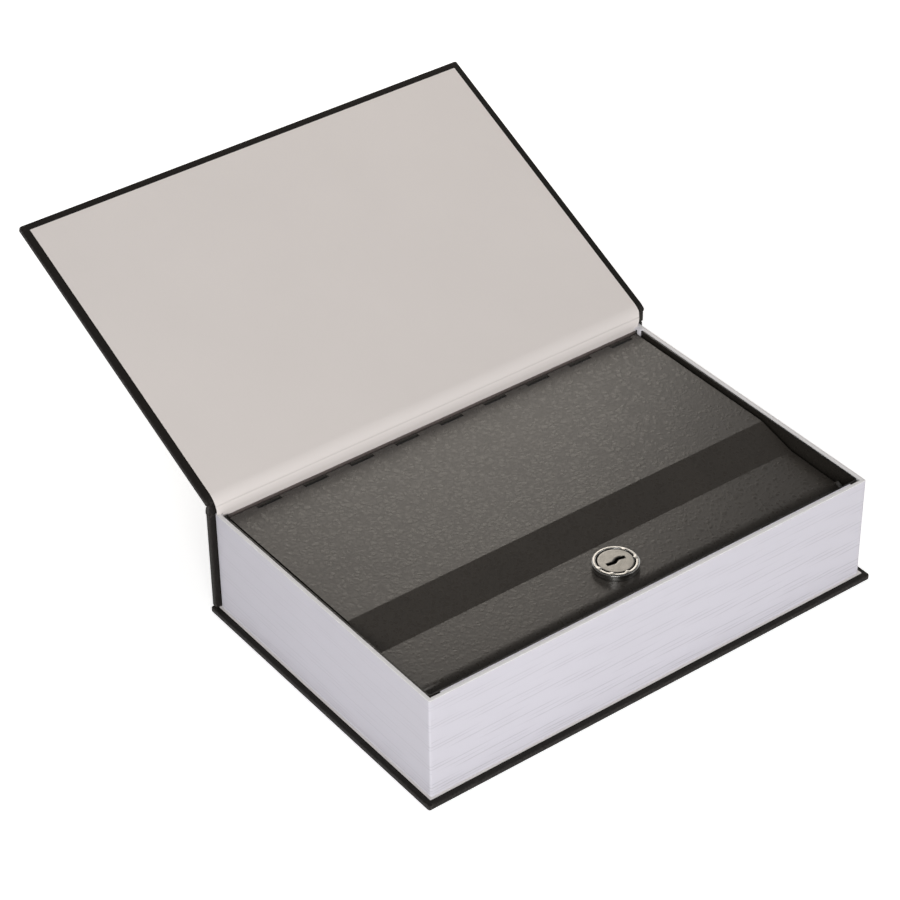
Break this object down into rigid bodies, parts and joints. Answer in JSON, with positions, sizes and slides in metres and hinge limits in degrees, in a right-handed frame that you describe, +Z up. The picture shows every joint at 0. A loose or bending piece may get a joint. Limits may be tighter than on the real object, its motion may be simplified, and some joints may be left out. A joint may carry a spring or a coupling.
{
  "type": "book diversion safe",
  "caption": "Keyed steel cash box hidden in the page block of a hard-bound book, with a hinged cover and a stepped lid on a knuckle hinge.",
  "frame": {"origin": "middle of the back cover's underside, on the surface that the book lies on", "axes": "+X along the spine, to the right as the open book is read; -Y towards the fore edge and +Y towards the spine; +Z up"},
  "size_m": [0.24, 0.2986, 0.1266],
  "materials": {
    "book_cloth": "grey board in black bookbinder's paper, fine matt grain",
    "liner_paper": "smooth warm white endpaper",
    "page_board": "white board printed with fine page lines",
    "powder_coat": "fine leather-textured grey powder coat",
    "chrome_plate": "satin chrome plate",
    "plain_steel": "bright zinc-plated steel",
    "brass_plate": "stamped brass",
    "foam_tape": "double-sided foam tape"
  },
  "bodies": {
    "book": {"back_cover_board": "book_cloth", "spine_board": "book_cloth", "back_endpaper": "liner_paper", "joint_cloth": "book_cloth", "gutter_strip": "liner_paper", "fore_edge_wall": "page_board", "spine_side_wall": "page_board", "head_wall": "page_board", "tail_wall": "page_board", "fore_edge_flap": "page_board", "box_body": "powder_coat", "front_ledge": "powder_coat", "hinge_pin": "plain_steel", "tape_left": "foam_tape", "tape_right": "foam_tape"},
    "front_cover": {"front_cover_board": "book_cloth", "front_endpaper": "liner_paper"},
    "lid": {"lid_panel": "powder_coat", "lock_housing": "chrome_plate", "lock_washer": "plain_steel", "lock_nut": "plain_steel"},
    "plug": {"lock_plug": "chrome_plate", "lock_cam": "plain_steel", "cam_washer": "plain_steel", "cam_screw": "plain_steel"},
    "wafer_a": {"wafer_1": "brass_plate"},
    "wafer_b": {"wafer_2": "brass_plate"},
    "wafer_c": {"wafer_3": "brass_plate"},
    "wafer_d": {"wafer_4": "brass_plate"}
  },
  "joints": [
    {"name": "cover_hinge", "type": "hinge", "parent": "book", "child": "front_cover", "pos_m": [0, 0.07752, 0.0578], "axis": [-1, 0, 0], "range_deg": [-155.2, 46], "deforming": ["joint_cloth", "gutter_strip"]},
    {"name": "lid_hinge", "type": "hinge", "parent": "book", "child": "lid", "pos_m": [0, 0.07137, 0.05035], "axis": [-1, 0, 0], "range_deg": [0, 100]},
    {"name": "lock_turn", "type": "hinge", "parent": "lid", "child": "plug", "pos_m": [0, -0.04868, 0.0468], "axis": [0, 0, -1], "range_deg": [0, 90]},
    {"name": "wafer_slide_1", "type": "slide", "parent": "plug", "child": "wafer_a", "axis": [0.9903, -0.1392, 0], "range_m": [0, 0.0006]},
    {"name": "wafer_slide_2", "type": "slide", "parent": "plug", "child": "wafer_b", "axis": [0.9903, -0.1392, 0], "range_m": [0, 0.0006]},
    {"name": "wafer_slide_3", "type": "slide", "parent": "plug", "child": "wafer_c", "axis": [0.9903, -0.1392, 0], "range_m": [0, 0.0006]},
    {"name": "wafer_slide_4", "type": "slide", "parent": "plug", "child": "wafer_d", "axis": [0.9903, -0.1392, 0], "range_m": [0, 0.0006]}
  ]
}
